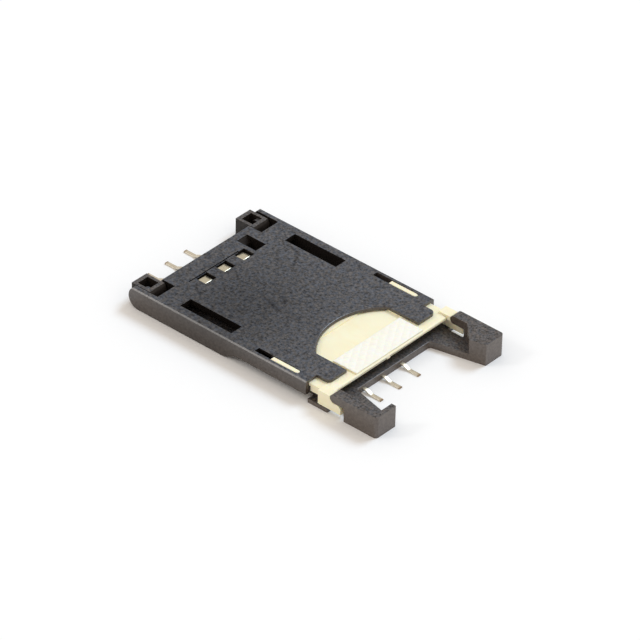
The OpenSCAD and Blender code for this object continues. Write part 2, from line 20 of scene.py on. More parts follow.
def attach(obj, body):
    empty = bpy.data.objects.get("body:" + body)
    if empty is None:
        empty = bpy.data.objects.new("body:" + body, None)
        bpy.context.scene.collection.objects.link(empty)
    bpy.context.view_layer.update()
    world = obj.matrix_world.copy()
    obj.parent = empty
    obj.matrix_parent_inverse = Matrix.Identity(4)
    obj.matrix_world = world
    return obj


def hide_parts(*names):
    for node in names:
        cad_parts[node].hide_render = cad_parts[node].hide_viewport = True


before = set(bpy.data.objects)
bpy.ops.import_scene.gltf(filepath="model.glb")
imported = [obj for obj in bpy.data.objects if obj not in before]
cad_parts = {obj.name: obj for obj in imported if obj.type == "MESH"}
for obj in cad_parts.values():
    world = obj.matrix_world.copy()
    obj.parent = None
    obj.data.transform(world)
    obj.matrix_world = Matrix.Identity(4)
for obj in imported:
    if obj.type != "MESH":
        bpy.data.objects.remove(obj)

LOG = logging.getLogger("card_socket")
# Metres in a millimetre
MM = 0.001
# Distance in millimetres within which a point counts as lying on an edge
NEAR = 0.01


class Slot(Enum):
    """Material slots of the record."""

    BLACK = "black_moulding"
    IVORY = "cream_moulding"
    STRIP = "plated_contact"


class Body(Enum):
    """Moving bodies of the record."""

    BASE = "base"
    LID = "lid"
    LOCK = "lock_slider"


def linear(colour: str) -> tuple[float, float, float, float]:
    """Turns an sRGB hex colour into linear RGBA.

    Args:
        colour: Six hex digits with a leading hash.

    Returns:
        Linear red, green and blue with an alpha of 1.
    """
    parts = np.array([int(colour[i:i + 2], 16) for i in (1, 3, 5)]) / 255.0
    low, high = parts / 12.92, ((parts + 0.055) / 1.055) ** 2.4
    red, green, blue = np.where(parts <= 0.04045, low, high)
    return (float(red), float(green), float(blue), 1.0)


def per_mm(length: float) -> float:
    """Texture scale, in cycles per metre, of a pattern whose features are length millimetres apart."""
    return 1.0 / (length * MM)


class Graph:
    """Node tree of one material or world."""

    def __init__(self, owner: bpy.types.ID) -> None:
        """Empties the owner's tree.

        Args:
            owner: Material, world or light that has a node tree.
        """
        owner.use_nodes = True
        self.tree = owner.node_tree
        self.tree.nodes.clear()

    def node(self, kind: str, inputs: dict[Any, Any] | None = None, **settings: Any) -> bpy.types.Node:
        """Adds one node with its settings, constants and links.

        Args:
            kind: Node type name.
            inputs: Input name or index to a constant, or to the output socket to link from.
            **settings: Attributes set on the node before its inputs.

        Returns:
            The new node.
        """
        made = self.tree.nodes.new(kind)
        for key, value in settings.items():
            setattr(made, key, value)
        for key, value in (inputs or {}).items():
            if isinstance(value, bpy.types.NodeSocket):
                self.tree.links.new(value, made.inputs[key])
            else:
                made.inputs[key].default_value = value
        return made


@dataclass(frozen=True)
class WeldLine:
    """Faint line where two flows met in the mould, on the lid's top.

    Attributes:
        start: First end, x and y.
        end: Second end, x and y.
        bow: Sideways bulge at the middle.
        width: Width of the line.
        depth: Share by which the line darkens the colour.
        level: Height above which the line is seen.
        taper: Value of s (1 - s), with s along the line, at which the faded ends reach full strength.
    """

    start: tuple[float, float]
    end: tuple[float, float]
    bow: float
    width: float
    depth: float
    level: float = 2.0
    taper: float = 0.12


@dataclass(frozen=True)
class FilledPolymer:
    """Black glass-filled polymer, from a tool with sparked floors and polished walls.

    The filler breaks up the skin of the flat faces, so the eye sees a dull dark grey with a speckled grain,
    part bluish and part brownish. The walls that draw out of the tool are plainer and glossier, and are
    painted lighter and warmer than the tops as painted reflection of the warm floor; walls deep inside are
    painted darker and less shiny as painted shade. The skin is painted paler and shinier away from one point
    on the top as a painted sheen, with faint lines where the melt flowed round the cores.

    Attributes:
        cool: Colour of the bluish specks.
        warm: Colour of the brownish specks.
        wall: Colour of the walls, painted lighter and warmer than the tops as painted reflection of the warm
            floor.
        speck: Spacing of the coarse specks, drawn coarser than real ones so that they show.
        contrast: Share by which a speck is lighter or darker than the mean.
        grain: Spacing of the bumps, drawn coarser than real ones so that they show.
        roughness: Mean roughness of the flat faces.
        polish: Mean roughness of the walls.
        ior: Index of refraction of the polymer with its filler.
        sheen_centre: Place on the top, x and y, where the painted sheen is weakest.
        reach: Distance from that place at which the painted sheen is full and the skin palest.
        fade: Share of the mean that the painted sheen gives at that place and at the far end.
        core: Half width, and front end along X, of the space whose walls are painted darker as painted
            shade.
        painted_shade_share: Share of the colour, and of the shine, that the painted shade leaves on those
            walls.
        lies_flat: Upward share of the normal at which a wall turns into a flat face, from and to.
        stands: Upward share of the normal at which a wall with painted shade turns into a flat face, from
            and to.
        calm: Share of the specks and bumps that the walls keep.
        hue_patch: Size of the bluish and brownish patches.
        wave: Spacing and swing of the weld lines' wobble.
        press: Strength and depth of the bumps.
        weld_lines: Lines on the lid's top.
    """

    cool: str = "#2b3340"
    warm: str = "#3d3a3a"
    wall: str = "#443d39"
    speck: float = 0.22
    contrast: float = 1.1
    grain: float = 0.14
    roughness: float = 0.48
    polish: float = 0.27
    ior: float = 1.62
    sheen_centre: tuple[float, float] = (-4.5, -4.0)
    reach: float = 11.0
    fade: tuple[float, float] = (0.6, 1.1)
    core: tuple[float, float] = (8.2, 2.6)
    painted_shade_share: float = 0.25
    lies_flat: tuple[float, float] = (0.85, 0.99)
    stands: tuple[float, float] = (0.75, 0.9)
    calm: float = 0.3
    hue_patch: float = 0.34
    wave: tuple[float, float] = (1.3, 0.7)
    press: tuple[float, float] = (0.35, 0.02)
    weld_lines: tuple[WeldLine, ...] = ()

    def line_mask(self, g: Graph, place: bpy.types.NodeSocket, wobble: bpy.types.NodeSocket,
                  line: WeldLine) -> bpy.types.NodeSocket:
        """Builds the mask of one weld line.

        With s along the line from 0 to 1 and e across it, the line is where e, less the bow times
        4 s (1 - s) and plus a small wobble, is within a width of nought. It fades out at both ends, and is
        drawn only above its level.

        Args:
            g: Graph of the material.
            place: Object coordinates.
            wobble: Noise about nought.
            line: The line.

        Returns:
            Socket with the line's strength, 0 to depth.
        """
        a, b = Vector((*line.start, 0.0)) * MM, Vector((*line.end, 0.0)) * MM
        run = b - a
        along = run / run.length_squared
        across = Vector((-run.y, run.x, 0.0)).normalized()
        rel = g.node("ShaderNodeVectorMath", {0: place, 1: a}, operation="SUBTRACT").outputs[0]
        s = g.node("ShaderNodeVectorMath", {0: rel, 1: along}, operation="DOT_PRODUCT").outputs["Value"]
        e = g.node("ShaderNodeVectorMath", {0: rel, 1: across}, operation="DOT_PRODUCT").outputs["Value"]
        rest = g.node("ShaderNodeMath", {0: 1.0, 1: s}, operation="SUBTRACT").outputs[0]
        hump = g.node("ShaderNodeMath", {0: s, 1: rest}, operation="MULTIPLY").outputs[0]
        bent = g.node("ShaderNodeMath", {0: hump, 1: -4.0 * line.bow * MM, 2: e},
                      operation="MULTIPLY_ADD").outputs[0]
        wavy = g.node("ShaderNodeMath", {0: wobble, 1: self.wave[1] * MM, 2: bent},
                      operation="MULTIPLY_ADD").outputs[0]
        off = g.node("ShaderNodeMath", {0: wavy}, operation="ABSOLUTE").outputs[0]
        core = g.node("ShaderNodeMapRange", {0: off, 1: 0.0, 2: line.width * MM, 3: 1.0, 4: 0.0},
                      interpolation_type="SMOOTHSTEP").outputs[0]
        ends = g.node("ShaderNodeMapRange", {0: hump, 1: 0.0, 2: line.taper, 3: 0.0, 4: line.depth},
                      interpolation_type="SMOOTHSTEP").outputs[0]
        drawn = g.node("ShaderNodeMath", {0: core, 1: ends}, operation="MULTIPLY").outputs[0]
        height = g.node("ShaderNodeSeparateXYZ", {0: place}).outputs["Z"]
        outside = g.node("ShaderNodeMath", {0: height, 1: line.level * MM},
                         operation="GREATER_THAN").outputs[0]
        return g.node("ShaderNodeMath", {0: drawn, 1: outside}, operation="MULTIPLY").outputs[0]

    def material(self, name: str) -> bpy.types.Material:
        """Builds the material.

        Args:
            name: Name of the material.

        Returns:
            The material.
        """
        made = bpy.data.materials.new(name)
        g = Graph(made)
        frame_of = g.node("ShaderNodeTexCoord").outputs
        place = frame_of["Object"]
        upright = g.node("ShaderNodeSeparateXYZ", {0: frame_of["Normal"]}).outputs["Z"]
        lie = g.node("ShaderNodeMath", {0: upright}, operation="ABSOLUTE").outputs[0]
        low, high = self.lies_flat
        flat = g.node("ShaderNodeMapRange", {0: lie, 1: low, 2: high, 3: 0.0, 4: 1.0},
                      interpolation_type="SMOOTHSTEP").outputs[0]
        # Painted sheen: colour and shine are painted from dull at one point on the top to paler and shinier
        # further off.
        away = g.node("ShaderNodeVectorMath", {0: place, 1: (self.sheen_centre[0] * MM, self.sheen_centre[1] * MM, 0.0)},
                      operation="DISTANCE").outputs["Value"]
        painted_sheen = g.node("ShaderNodeMapRange", {0: away, 1: 0.0, 2: self.reach * MM, 3: self.fade[0],
                                             4: self.fade[1]}, interpolation_type="SMOOTHSTEP").outputs[0]
        speck = g.node("ShaderNodeTexNoise", {"Vector": place, "Scale": per_mm(self.speck), "Detail": 3.0,
                                              "Roughness": 0.65}).outputs[0]
        swing = g.node("ShaderNodeMapRange", {0: speck, 1: 0.2, 2: 0.8, 3: -self.contrast,
                                              4: self.contrast}).outputs[0]
        calm = g.node("ShaderNodeMapRange", {0: flat, 1: 0.0, 2: 1.0, 3: self.calm, 4: 1.0}).outputs[0]
        lift = g.node("ShaderNodeMath", {0: swing, 1: calm, 2: 1.0}, operation="MULTIPLY_ADD").outputs[0]
        share = g.node("ShaderNodeMath", {0: lift, 1: painted_sheen}, operation="MULTIPLY").outputs[0]
        raw = g.node("ShaderNodeTexNoise", {"Vector": place, "Scale": per_mm(self.wave[0]),
                                            "Detail": 2.0}).outputs[0]
        wobble = g.node("ShaderNodeMath", {0: raw, 1: 0.5}, operation="SUBTRACT").outputs[0]
        for line in self.weld_lines:
            rest = g.node("ShaderNodeMath", {0: 1.0, 1: self.line_mask(g, place, wobble, line)},
                          operation="SUBTRACT").outputs[0]
            share = g.node("ShaderNodeMath", {0: share, 1: rest}, operation="MULTIPLY").outputs[0]
        tint = g.node("ShaderNodeTexNoise", {"Vector": place, "Scale": per_mm(self.hue_patch),
                                             "Detail": 2.0}).outputs[0]
        turn = g.node("ShaderNodeMapRange", {0: tint, 1: 0.38, 2: 0.62, 3: 0.0, 4: 1.0}).outputs[0]
        floor_hue = g.node("ShaderNodeMix", {0: turn, 6: linear(self.cool), 7: linear(self.warm)},
                           data_type="RGBA").outputs[2]
        # Painted shade: steep walls near the middle and behind the thumb cut-out are painted darker and less
        # shiny, where the socket's inside lies in shade.
        axes = g.node("ShaderNodeSeparateXYZ", {0: place}).outputs
        side = g.node("ShaderNodeMath", {0: axes["Y"]}, operation="ABSOLUTE").outputs[0]
        inside = g.node("ShaderNodeMath", {0: side, 1: self.core[0] * MM}, operation="LESS_THAN").outputs[0]
        behind = g.node("ShaderNodeMath", {0: axes["X"], 1: self.core[1] * MM},
                        operation="LESS_THAN").outputs[0]
        steep = g.node("ShaderNodeMapRange", {0: lie, 1: self.stands[0], 2: self.stands[1], 3: 1.0,
                                              4: 0.0}).outputs[0]
        enclosed = g.node("ShaderNodeMath", {0: inside, 1: behind}, operation="MULTIPLY").outputs[0]
        painted_shade = g.node("ShaderNodeMath", {0: enclosed, 1: steep}, operation="MULTIPLY").outputs[0]
        wall_shade = g.node("ShaderNodeMapRange", {0: painted_shade, 1: 0.0, 2: 1.0, 3: 1.0,
                                                  4: self.painted_shade_share}).outputs[0]
        # The wall colour is painted lighter and warmer than the tops, as painted reflection of the warm
        # floor.
        wall = g.node("ShaderNodeVectorMath", {0: linear(self.wall)[:3], "Scale": wall_shade},
                      operation="SCALE").outputs[0]
        hue = g.node("ShaderNodeMix", {0: flat, 6: wall, 7: floor_hue}, data_type="RGBA").outputs[2]
        skin = g.node("ShaderNodeVectorMath", {0: hue, "Scale": share}, operation="SCALE").outputs[0]
        gloss = g.node("ShaderNodeMapRange", {0: flat, 1: 0.0, 2: 1.0, 3: self.polish,
                                              4: self.roughness}).outputs[0]
        # The painted shade takes shine off those walls too.
        dull = g.node("ShaderNodeMix", {0: flat, 2: wall_shade, 3: 1.0}, data_type="FLOAT").outputs[0]
        gleam = g.node("ShaderNodeMath", {0: share, 1: dull}, operation="MULTIPLY").outputs[0]
        shine = g.node("ShaderNodeMath", {0: gleam, 1: 0.5}, operation="MULTIPLY").outputs[0]
        fine = g.node("ShaderNodeTexNoise", {"Vector": place, "Scale": per_mm(self.grain),
                                             "Detail": 2.0}).outputs[0]
        strength, depth = self.press
        press = g.node("ShaderNodeMath", {0: calm, 1: strength}, operation="MULTIPLY").outputs[0]
        relief = g.node("ShaderNodeBump", {"Height": fine, "Strength": press,
                                           "Distance": depth * MM}).outputs[0]
        skin_shader = g.node("ShaderNodeBsdfPrincipled", {
            "Base Color": skin, "Roughness": gloss, "IOR": self.ior, "Specular IOR Level": shine,
            "Normal": relief}).outputs[0]
        g.node("ShaderNodeOutputMaterial", {"Surface": skin_shader})
        return made


@dataclass(frozen=True)
class IvoryPolymer:
    """Natural ivory polymer, moulded.

    Unpigmented polymer lets light a little way in, so thin edges glow warm and the shade is never grey.

    Attributes:
        colour: Colour of the skin.
        shade: Colour of the slightly browner patches.
        roughness: Mean roughness.
        patch: Size of the browner patches.
        grain: Spacing of the bumps.
        depth: Depth of the bumps.
        ior: Index of refraction.
        glow: Share of the light that goes in.
        inward: Distance that it goes.
    """

    colour: str = "#fef7d8"
    shade: str = "#fbecc6"
    roughness: float = 0.42
    patch: float = 2.2
    grain: float = 0.2
    depth: float = 0.012
    ior: float = 1.5
    glow: float = 0.25
    inward: float = 0.25

    def material(self, name: str) -> bpy.types.Material:
        """Builds the material.

        Args:
            name: Name of the material.

        Returns:
            The material.
        """
        made = bpy.data.materials.new(name)
        g = Graph(made)
        place = g.node("ShaderNodeTexCoord").outputs["Object"]
        cloud = g.node("ShaderNodeTexNoise", {"Vector": place, "Scale": per_mm(self.patch), "Detail": 3.0,
                                              "Distortion": 0.8}).outputs[0]
        share = g.node("ShaderNodeMapRange", {0: cloud, 1: 0.4, 2: 0.75, 3: 0.0, 4: 0.6}).outputs[0]
        skin = g.node("ShaderNodeMix", {0: share, 6: linear(self.colour), 7: linear(self.shade)},
                      data_type="RGBA").outputs[2]
        fine = g.node("ShaderNodeTexNoise", {"Vector": place, "Scale": per_mm(self.grain),
                                             "Detail": 2.0}).outputs[0]
        gloss = g.node("ShaderNodeMapRange", {0: fine, 1: 0.3, 2: 0.7, 3: self.roughness - 0.05,
                                              4: self.roughness + 0.08}).outputs[0]
        relief = g.node("ShaderNodeBump", {"Height": fine, "Strength": 0.2,
                                           "Distance": self.depth * MM}).outputs[0]
        skin_shader = g.node("ShaderNodeBsdfPrincipled", {
            "Base Color": skin, "Roughness": gloss, "IOR": self.ior, "Normal": relief,
            "Subsurface Weight": self.glow, "Subsurface Radius": (1.0, 0.72, 0.38),
            "Subsurface Scale": self.inward * MM}).outputs[0]
        g.node("ShaderNodeOutputMaterial", {"Surface": skin_shader})
        return made


@dataclass(frozen=True)
class PlatedStrip:
    """Stamped copper-alloy strip, tin on the solder tails and thin gold over nickel on the springs.

    Both platings are bright metal with faint drawing marks along the strip. The share of gold is the piece's
    own attribute, 0 on the tail and 1 on the spring, and below 0 where the tail was cut off after plating.

    Attributes:
        bare: Colour of the bare strip at the cut.
        tin: Colour of the tin.
        gold: Colour of the gold.
        roughness: Mean roughness.
        mark: Spacing of the drawing marks across the strip, coarse enough to show.
        stretch: Share of that frequency along the strip.
    """

    bare: str = "#9c8468"
    tin: str = "#e6decc"
    gold: str = "#dad4be"
    roughness: float = 0.27
    mark: float = 0.09
    stretch: float = 0.12

    def material(self, name: str) -> bpy.types.Material:
        """Builds the material.

        Args:
            name: Name of the material.

        Returns:
            The material.
        """
        made = bpy.data.materials.new(name)
        g = Graph(made)
        place = g.node("ShaderNodeTexCoord").outputs["Object"]
        plating = g.node("ShaderNodeAttribute", attribute_name=Strip.PLATING).outputs["Fac"]
        plated = g.node("ShaderNodeMix", {0: plating, 6: linear(self.tin), 7: linear(self.gold)},
                        data_type="RGBA").outputs[2]
        cut = g.node("ShaderNodeMapRange", {0: plating, 1: -1.0, 2: 0.0, 3: 1.0, 4: 0.0}).outputs[0]
        metal = g.node("ShaderNodeMix", {0: cut, 6: plated, 7: linear(self.bare)},
                       data_type="RGBA").outputs[2]
        drawn = g.node("ShaderNodeMapping", {"Vector": place,
                                             "Scale": (self.stretch, 1.0, self.stretch)}).outputs[0]
        marks = g.node("ShaderNodeTexNoise", {"Vector": drawn, "Scale": per_mm(self.mark),
                                              "Detail": 2.0}).outputs[0]
        tone = g.node("ShaderNodeMapRange", {0: marks, 1: 0.3, 2: 0.7, 3: 0.86, 4: 1.0}).outputs[0]
        toned = g.node("ShaderNodeMix", {0: 1.0, 6: metal, 7: tone}, data_type="RGBA",
                       blend_type="MULTIPLY").outputs[2]
        gloss = g.node("ShaderNodeMapRange", {0: marks, 1: 0.3, 2: 0.7, 3: self.roughness - 0.06,
                                              4: self.roughness + 0.1}).outputs[0]
        shader = g.node("ShaderNodeBsdfPrincipled", {"Base Color": toned, "Metallic": 1.0,
                                                     "Roughness": gloss}).outputs[0]
        g.node("ShaderNodeOutputMaterial", {"Surface": shader})
        return made


def grid_mesh(name: str, points: np.ndarray, wrap: bool = False, caps: bool = False) -> bpy.types.Mesh:
    """Makes a mesh from a grid of points, quad by quad.

    Args:
        name: Name of the mesh.
        points: Array of rows by columns by 3, in millimetres.
        wrap: Whether the columns close on themselves.
        caps: Whether the first and last rows are closed with one face each.

    Returns:
        The mesh, in metres, with its faces smooth.
    """
    rows, cols = points.shape[:2]
    i, j = np.meshgrid(np.arange(rows - 1), np.arange(cols if wrap else cols - 1), indexing="ij")
    k = (j + 1) % cols
    near, far = i * cols, (i + 1) * cols
    quads = np.stack([near + j, far + j, far + k, near + k], axis=-1)
    faces: list[list[int]] = quads.reshape(-1, 4).tolist()
    if caps:
        faces += [np.arange(cols).tolist(), ((rows - 1) * cols + np.arange(cols))[::-1].tolist()]
    mesh = bpy.data.meshes.new(name)
    mesh.from_pydata((points.reshape(-1, 3) * MM).tolist(), [], faces)
    mesh.shade_smooth()
    return mesh


def outward(mesh: bpy.types.Mesh) -> None:
    """Turns the faces of a closed mesh outwards.

    Args:
        mesh: The mesh.
    """
    work = bmesh.new()
    work.from_mesh(mesh)
    bmesh.ops.remove_doubles(work, verts=work.verts, dist=1e-7)
    bmesh.ops.recalc_face_normals(work, faces=work.faces)
    work.to_mesh(mesh)
    work.free()


def face_up(mesh: bpy.types.Mesh) -> None:
    """Turns an open sheet so that its faces look up.

    Args:
        mesh: The sheet.
    """
    if mesh.polygons[0].normal.z < 0.0:
        mesh.flip_normals()


def show(mesh: bpy.types.Mesh, body: Body, material: bpy.types.Material) -> bpy.types.Object:
    """Puts a mesh into the scene as a piece that rides on a body.

    Args:
        mesh: The mesh, with its place in it.
        body: Body that the piece moves with.
        material: Finish of the piece.

    Returns:
        The object.
    """
    made = bpy.data.objects.new(mesh.name, mesh)
    bpy.context.scene.collection.objects.link(made)
    mesh.materials.clear()
    mesh.materials.append(material)
    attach(made, body.value)
    LOG.info("%s: %d vertices on %s", made.name, len(mesh.vertices), body.value)
    return made


@dataclass(frozen=True)
class EasedEdge:
    """Level edge that is rounded more than the mould's other edges.

    Attributes:
        level: Height of the edge.
        width: Width of the rounding.
    """

    level: float
    width: float

    def reaches(self, x: np.ndarray, y: np.ndarray) -> np.ndarray:
        """Tells which points, seen from above, lie on the edge.

        Args:
            x: Places along the socket.
            y: Places across it.

        Returns:
            True for each point on the edge.
        """
        raise NotImplementedError

    def widths(self, mesh: bpy.types.Mesh) -> np.ndarray:
        """Finds the mesh edges that lie on this edge.

        Args:
            mesh: Mesh of the piece, in metres.

        Returns:
            The width of the rounding for each mesh edge with both ends on this edge, nought for the others.
        """
        places = np.empty(3 * len(mesh.vertices), np.float32)
        mesh.vertices.foreach_get("co", places)
        x, y, z = places.reshape(-1, 3).T / MM
        on = self.reaches(x, y) & (np.abs(z - self.level) < NEAR)
        ends = np.empty(2 * len(mesh.edges), np.int32)
        mesh.edges.foreach_get("vertices", ends)
        return self.width * on[ends.reshape(-1, 2)].all(axis=1)


@dataclass(frozen=True)
class EasedArc(EasedEdge):
    """Round edge of the thumb cut-out, eased for the finger.

    Attributes:
        middle: Middle of the arc along the socket.
        radius: Radius of the arc.
    """

    middle: float
    radius: float

    def reaches(self, x: np.ndarray, y: np.ndarray) -> np.ndarray:
        """Tells which points are at the arc's radius from its middle."""
        return np.abs(np.hypot(x - self.middle, y) - self.radius) < NEAR


@dataclass(frozen=True)
class EasedMouth(EasedEdge):
    """Edge of the floor round the mouth, from one arm along the cross-bar to the other.

    Attributes:
        back: Front of the cross-bar.
        front: Front of the arms.
        half_back: Half width of the mouth at the cross-bar.
        half_front: Half width of the mouth at the front.
    """

    back: float
    front: float
    half_back: float
    half_front: float

    def reaches(self, x: np.ndarray, y: np.ndarray) -> np.ndarray:
        """Tells which points are in the mouth, where the floor has none but those on its edge."""
        run = (x - self.back) / (self.front - self.back)
        half = self.half_back + run * (self.half_front - self.half_back)
        return (x > self.back - NEAR) & (x < self.front + NEAR) & (np.abs(y) < half + NEAR)


@dataclass(frozen=True)
class EasedRibs(EasedEdge):
    """Top edges of the lock's two guide ribs.

    Attributes:
        side: Distance from the middle of the socket beyond which the ribs stand.
    """

    side: float

    def reaches(self, x: np.ndarray, y: np.ndarray) -> np.ndarray:
        """Tells which points are out at the ribs, whose tops are alone at their level."""
        return np.abs(y) > self.side


@dataclass(frozen=True)
class EasedFront(EasedEdge):
    """Upper front edge of the lock's plate, which the finger pushes.

    Attributes:
        front: Front of the plate.
        half: Half width of the plate.
    """

    front: float
    half: float

    def reaches(self, x: np.ndarray, y: np.ndarray) -> np.ndarray:
        """Tells which points are at the plate's front, between its sides."""
        return (np.abs(x - self.front) < NEAR) & (np.abs(y) < self.half + NEAR)


@dataclass
class Moulding:
    """A moulded piece: its solid with the small radii that a mould leaves on every edge.

    Attributes:
        node: Node of the part.
        body: Body that it moves with.
        slot: Material slot of the record, not used.
        edge: Width of the rounded edges.
        flat: Angle in degrees up to which neighbouring faces are one face.
        sharp: Angle in degrees from which an edge is rounded.
        eased: Edges that are rounded more than the others.
    """

    node: str
    body: Body
    slot: Slot
    edge: float
    flat: float = 0.4
    sharp: float = 25.0
    eased: tuple[EasedEdge, ...] = ()

    def build(self, material: bpy.types.Material) -> bpy.types.Object:
        """Copies the solid, joins its loose triangles into whole faces and rounds its edges.

        Args:
            material: Finish of the piece.

        Returns:
            The object, which stands for the node.
        """
        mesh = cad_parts[self.node].data.copy()
        mesh.name = f"{self.node}_moulded"
        work = bmesh.new()
        work.from_mesh(mesh)
        bmesh.ops.remove_doubles(work, verts=work.verts, dist=1e-6)
        bmesh.ops.dissolve_limit(work, angle_limit=math.radians(self.flat), verts=work.verts,
                                 edges=work.edges)
        work.to_mesh(mesh)
        work.free()
        mesh.shade_smooth()
        mesh.set_sharp_from_angle(angle=math.radians(self.sharp))
        made = show(mesh, self.body, material)
        if self.eased:
            widths = np.max([edge.widths(mesh) for edge in self.eased], axis=0)
            weight = mesh.attributes.new("bevel_weight_edge", "FLOAT", "EDGE")
            weight.data.foreach_set("value", (widths / widths.max()).astype(np.float32))
            ease = made.modifiers.new("eased_edges", "BEVEL")
            ease.width = float(widths.max()) * MM
            ease.segments = 5
            ease.limit_method = "WEIGHT"
            ease.harden_normals = True
        rim = made.modifiers.new("moulded_edges", "BEVEL")
        rim.width = self.edge * MM
        rim.segments = 2
        rim.limit_method = "ANGLE"
        rim.angle_limit = math.radians(self.sharp)
        rim.harden_normals = True
        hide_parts(self.node)
        return made


@dataclass
class GripPad:
    """Diamond-grooved face of the lock's grip pad.

    Two families of grooves cross at the same angle on both sides of the centre line and leave rows of low
    diamonds.

    Attributes:
        low: Corner with the smaller x and y.
        high: Corner with the larger x and y.
        top: Height of the pad's plain face.
        relief: Height of the diamonds.
        lift: Height of the face above the pad's plain face.
        tuck: Depth by which its outer edge dips below the rest.
        cell: Length and width of one diamond, tip to tip.
        margin: Width of the plain rim.
        step: Spacing of the grid.
    """

    low: tuple[float, float] = (7.015, -4.5)
    high: tuple[float, float] = (9.765, 4.5)
    top: float = 1.94
    relief: float = 0.05
    lift: float = 0.002
    tuck: float = 0.006
    cell: tuple[float, float] = (0.75, 1.25)
    margin: float = 0.1
    step: float = 0.035

    def build(self, material: bpy.types.Material) -> bpy.types.Object:
        """Builds the grooved face.

        The height is relief times f(x/a + y/b) f(x/a - y/b), where a and b are the diamond's diagonals and
        f(t) = |sin(pi t)| to the power 0.7, faded out over the plain rim. The outermost row dips into the
        pad.

        Args:
            material: Finish of the pad.

        Returns:
            The object.
        """
        x = np.arange(self.low[0], self.high[0] + self.step / 2, self.step)
        y = np.arange(self.low[1], self.high[1] + self.step / 2, self.step)
        gx, gy = np.meshgrid(x, y, indexing="ij")
        a, b = self.cell
        one = np.abs(np.sin(np.pi * (gx / a + gy / b))) ** 0.7
        two = np.abs(np.sin(np.pi * (gx / a - gy / b))) ** 0.7
        inset = np.minimum.reduce([gx - x[0], x[-1] - gx, gy - y[0], y[-1] - gy])
        rim = np.clip(inset / self.margin, 0.0, 1.0)
        gz = self.top + self.lift - self.tuck * (inset <= 0.0) + self.relief * one * two * rim
        mesh = grid_mesh("grip_pad_face", np.stack([gx, gy, gz], axis=-1))
        face_up(mesh)
        return show(mesh, Body.LOCK, material)


@dataclass
class Strip:
    """One spring contact: a stamped strip with rounded edges, bent along its length.

    Attributes:
        node: Node that the strip stands for.
        path: Corners of the middle line, each x, y, z, width and share of gold.
        thickness: Thickness of the strip.
        bend: Run over which each corner is rounded.
        crease: Run over which the last corner is rounded.
        edge: Radius of the strip's edges.
        sharp: Angle in degrees from which an edge is shaded sharp.
    """

    PLATING = "plating"

    node: str
    path: Sequence[tuple[float, float, float, float, float]]
    thickness: float = 0.14
    bend: float = 0.16
    crease: float = 0.16
    edge: float = 0.035
    sharp: float = 50.0

    def middle_line(self, steps: int = 7) -> np.ndarray:
        """Rounds the corners of the path.

        Each inner corner becomes a quadratic curve from a point one run before it to one run after it, where
        the run is at most 0.45 of the shorter leg.

        Args:
            steps: Points on each rounded corner.

        Returns:
            Array of points by 5: x, y, z, width and share of gold.
        """
        p = np.array(self.path, float)
        legs = np.linalg.norm(np.diff(p[:, :3], axis=0), axis=1)
        runs = np.append(np.full(len(legs) - 2, self.bend), self.crease)
        reach = np.minimum(runs, 0.45 * np.minimum(legs[:-1], legs[1:]))[:, None]
        a = p[1:-1] + (p[:-2] - p[1:-1]) * reach / legs[:-1, None]
        b = p[1:-1] + (p[2:] - p[1:-1]) * reach / legs[1:, None]
        s = np.linspace(0.0, 1.0, steps)[None, :, None]
        curves = a[:, None] * (1 - s) ** 2 + 2 * p[1:-1][:, None] * s * (1 - s) + b[:, None] * s ** 2
        return np.concatenate([p[:1], curves.reshape(-1, 5), p[-1:]])

    def section(self, corner: int = 4) -> np.ndarray:
        """Outline of the strip across its length.

        Args:
            corner: Points on each rounded corner.

        Returns:
            Array of points by 3: side (-1 or 1), offset from that side, and height.
        """
        t = np.linspace(0.0, np.pi / 2, corner)
        r, h = self.edge, self.thickness / 2
        turns = np.concatenate([t, t + np.pi / 2, t + np.pi, t + 3 * np.pi / 2])
        side = np.repeat([1.0, -1.0, -1.0, 1.0], corner)
        level = np.repeat([1.0, 1.0, -1.0, -1.0], corner)
        return np.stack([side, -side * r + r * np.cos(turns), level * (h - r) + r * np.sin(turns)], axis=1)

    def build(self, material: bpy.types.Material) -> bpy.types.Object:
        """Carries the section along the rounded path.

        A point is the middle line, plus half the width and the section's offset along Y, plus its height
        along the normal of the line in the XZ plane.

        Args:
            material: Finish of the strip.

        Returns:
            The object, which stands for the node.
        """
        line = self.middle_line()
        run = np.gradient(line[:, [0, 2]], axis=0)
        run /= np.linalg.norm(run, axis=1, keepdims=True)
        normal = np.stack([-run[:, 1], np.zeros(len(run)), run[:, 0]], axis=1)
        cut = self.section()
        across = cut[None, :, 0] * line[:, None, 3] / 2 + cut[None, :, 1]
        points = line[:, None, :3] + normal[:, None, :] * cut[None, :, 2, None]
        points[:, :, 1] += across
        mesh = grid_mesh(f"{self.node}_strip", points, wrap=True, caps=True)
        layer = mesh.attributes.new(self.PLATING, "FLOAT", "POINT")
        layer.data.foreach_set("value", np.repeat(line[:, 4], len(cut)).astype(np.float32))
        outward(mesh)
        mesh.shade_smooth()
        mesh.set_sharp_from_angle(angle=math.radians(self.sharp))
        made = show(mesh, Body.BASE, material)
        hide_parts(self.node)
        return made


